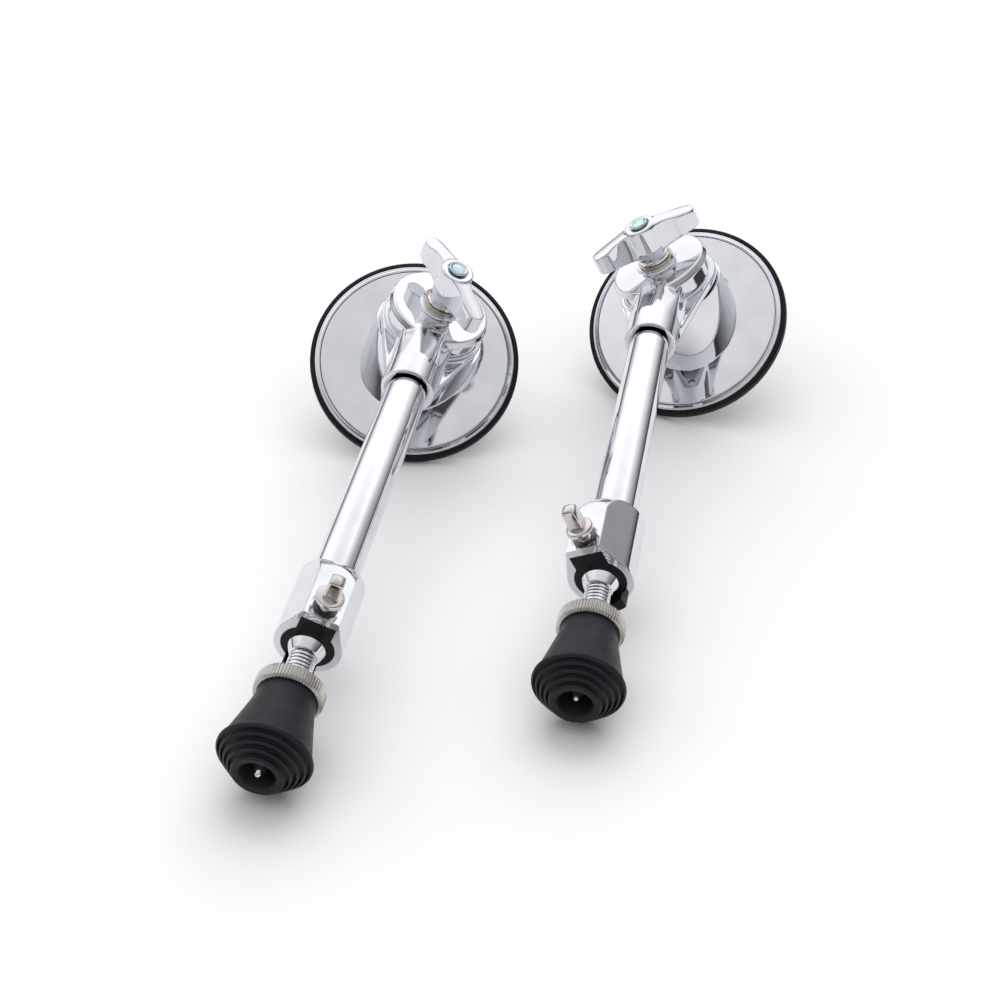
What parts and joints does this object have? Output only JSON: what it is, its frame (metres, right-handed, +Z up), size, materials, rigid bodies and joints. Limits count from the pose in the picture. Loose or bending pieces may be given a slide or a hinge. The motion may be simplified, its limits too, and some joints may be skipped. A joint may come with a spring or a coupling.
{
  "type": "pair of bass drum spurs",
  "caption": "Pair of telescoping drum spur legs: round gasketed bases, slanted swivel knuckles with wing nuts, clamp collars, threaded spikes and rubber feet.",
  "frame": {"origin": "middle of the pair on the table that the spurs lie on", "axes": "+Z up from the table, +X from the left spur to the right spur, -Y the way the feet point"},
  "size_m": [0.2595, 0.3885, 0.1031],
  "materials": {
    "chrome": "polished chrome plate on cast zinc",
    "tube_chrome": "polished chrome plate on steel",
    "zinc_steel": "bright zinc plated steel",
    "nickel_steel": "satin nickel plated steel",
    "dark_steel": "blackened steel",
    "brass": "pale brass washer",
    "black_plastic": "black nylon",
    "white_plastic": "natural nylon",
    "gasket_rubber": "black rubber",
    "foot_rubber": "moulded dark rubber"
  },
  "bodies": {
    "left_base": {"left_gasket": "gasket_rubber", "left_base": "chrome", "left_hinge_bolt": "zinc_steel", "left_friction_disc": "black_plastic"},
    "left_washer": {"left_brass_washer": "brass"},
    "left_wing": {"left_wing_nut": "chrome"},
    "left_leg": {"left_knuckle": "chrome", "left_tube": "tube_chrome", "left_roll_pin": "dark_steel", "left_tube_screw": "dark_steel", "left_collar": "chrome", "left_bushing": "black_plastic", "left_screw_washer": "nickel_steel"},
    "left_key": {"left_key_screw": "nickel_steel"},
    "left_rod": {"left_rod": "tube_chrome", "left_rod_guide": "white_plastic", "left_spike_stud": "zinc_steel"},
    "left_lock": {"left_lock_nut": "nickel_steel"},
    "left_foot": {"left_foot_insert": "nickel_steel", "left_foot": "foot_rubber"},
    "right_base": {"right_gasket": "gasket_rubber", "right_base": "chrome", "right_hinge_bolt": "zinc_steel", "right_friction_disc": "black_plastic"},
    "right_washer": {"right_brass_washer": "brass"},
    "right_wing": {"right_wing_nut": "chrome"},
    "right_leg": {"right_knuckle": "chrome", "right_tube": "tube_chrome", "right_roll_pin": "dark_steel", "right_tube_screw": "dark_steel", "right_collar": "chrome", "right_bushing": "black_plastic", "right_screw_washer": "nickel_steel"},
    "right_key": {"right_key_screw": "nickel_steel"},
    "right_rod": {"right_rod": "tube_chrome", "right_rod_guide": "white_plastic", "right_spike_stud": "zinc_steel"},
    "right_lock": {"right_lock_nut": "nickel_steel"},
    "right_foot": {"right_foot_insert": "nickel_steel", "right_foot": "foot_rubber"}
  },
  "joints": [
    {"name": "pair_spacing", "type": "slide", "parent": "left_base", "child": "right_base", "axis": [1, 0, 0], "range_m": [0, 0.1]},
    {"name": "left_leg_swing", "type": "hinge", "parent": "left_base", "child": "left_leg", "pos_m": [-0.05325, 0.09916, 0.06399], "axis": [0.3452, -0.2149, 0.9136], "range_deg": [-109, 12]},
    {"name": "left_washer_rise", "type": "slide", "parent": "left_base", "child": "left_washer", "axis": [0.3452, -0.2149, 0.9136], "range_m": [0, 0.00187]},
    {"name": "left_wing_turn", "type": "hinge", "parent": "left_washer", "child": "left_wing", "pos_m": [-0.04634, 0.09486, 0.08226], "axis": [0.3452, -0.2149, 0.9136], "range_deg": [0, 450]},
    {"name": "left_key_turn", "type": "hinge", "parent": "left_leg", "child": "left_key", "pos_m": [-0.09018, -0.1206, 0.04814], "axis": [0.3452, -0.2149, 0.9136], "range_deg": [0, 405]},
    {"name": "left_rod_slide", "type": "slide", "parent": "left_leg", "child": "left_rod", "axis": [-0.197, -0.9683, -0.1533], "range_m": [0, 0.1]},
    {"name": "left_foot_travel", "type": "slide", "parent": "left_rod", "child": "left_lock", "axis": [0.197, 0.9683, 0.1533], "range_m": [0, 0.01125]},
    {"name": "left_foot_turn", "type": "hinge", "parent": "left_lock", "child": "left_foot", "pos_m": [-0.10849, -0.17236, 0.02099], "axis": [0.197, 0.9683, 0.1533], "range_deg": [0, 2700]},
    {"name": "right_leg_swing", "type": "hinge", "parent": "right_base", "child": "right_leg", "pos_m": [0.06512, 0.14932, 0.06427], "axis": [-0.445, -0.0612, 0.8934], "range_deg": [-12, 107]},
    {"name": "right_washer_rise", "type": "slide", "parent": "right_base", "child": "right_washer", "axis": [-0.445, -0.0612, 0.8934], "range_m": [0, 0.00187]},
    {"name": "right_wing_turn", "type": "hinge", "parent": "right_washer", "child": "right_wing", "pos_m": [0.05622, 0.1481, 0.08214], "axis": [-0.445, -0.0612, 0.8934], "range_deg": [0, 450]},
    {"name": "right_key_turn", "type": "hinge", "parent": "right_leg", "child": "right_key", "pos_m": [0.01766, -0.06838, 0.0481], "axis": [-0.445, -0.0612, 0.8934], "range_deg": [0, 405]},
    {"name": "right_rod_slide", "type": "slide", "parent": "right_leg", "child": "right_rod", "axis": [-0.1733, -0.9729, -0.153], "range_m": [0, 0.1]},
    {"name": "right_foot_travel", "type": "slide", "parent": "right_rod", "child": "right_lock", "axis": [0.1733, 0.9729, 0.153], "range_m": [0, 0.01125]},
    {"name": "right_foot_turn", "type": "hinge", "parent": "right_lock", "child": "right_foot", "pos_m": [0.0161, -0.12592, 0.02099], "axis": [0.1733, 0.9729, 0.153], "range_deg": [0, 2700]}
  ],
  "couplings": [
    {"joint": "left_wing_turn", "follows": "left_washer_rise", "rad_per_m": 4188.8},
    {"joint": "left_foot_turn", "follows": "left_foot_travel", "rad_per_m": 4188.8},
    {"joint": "right_wing_turn", "follows": "right_washer_rise", "rad_per_m": 4188.8},
    {"joint": "right_foot_turn", "follows": "right_foot_travel", "rad_per_m": 4188.8}
  ]
}
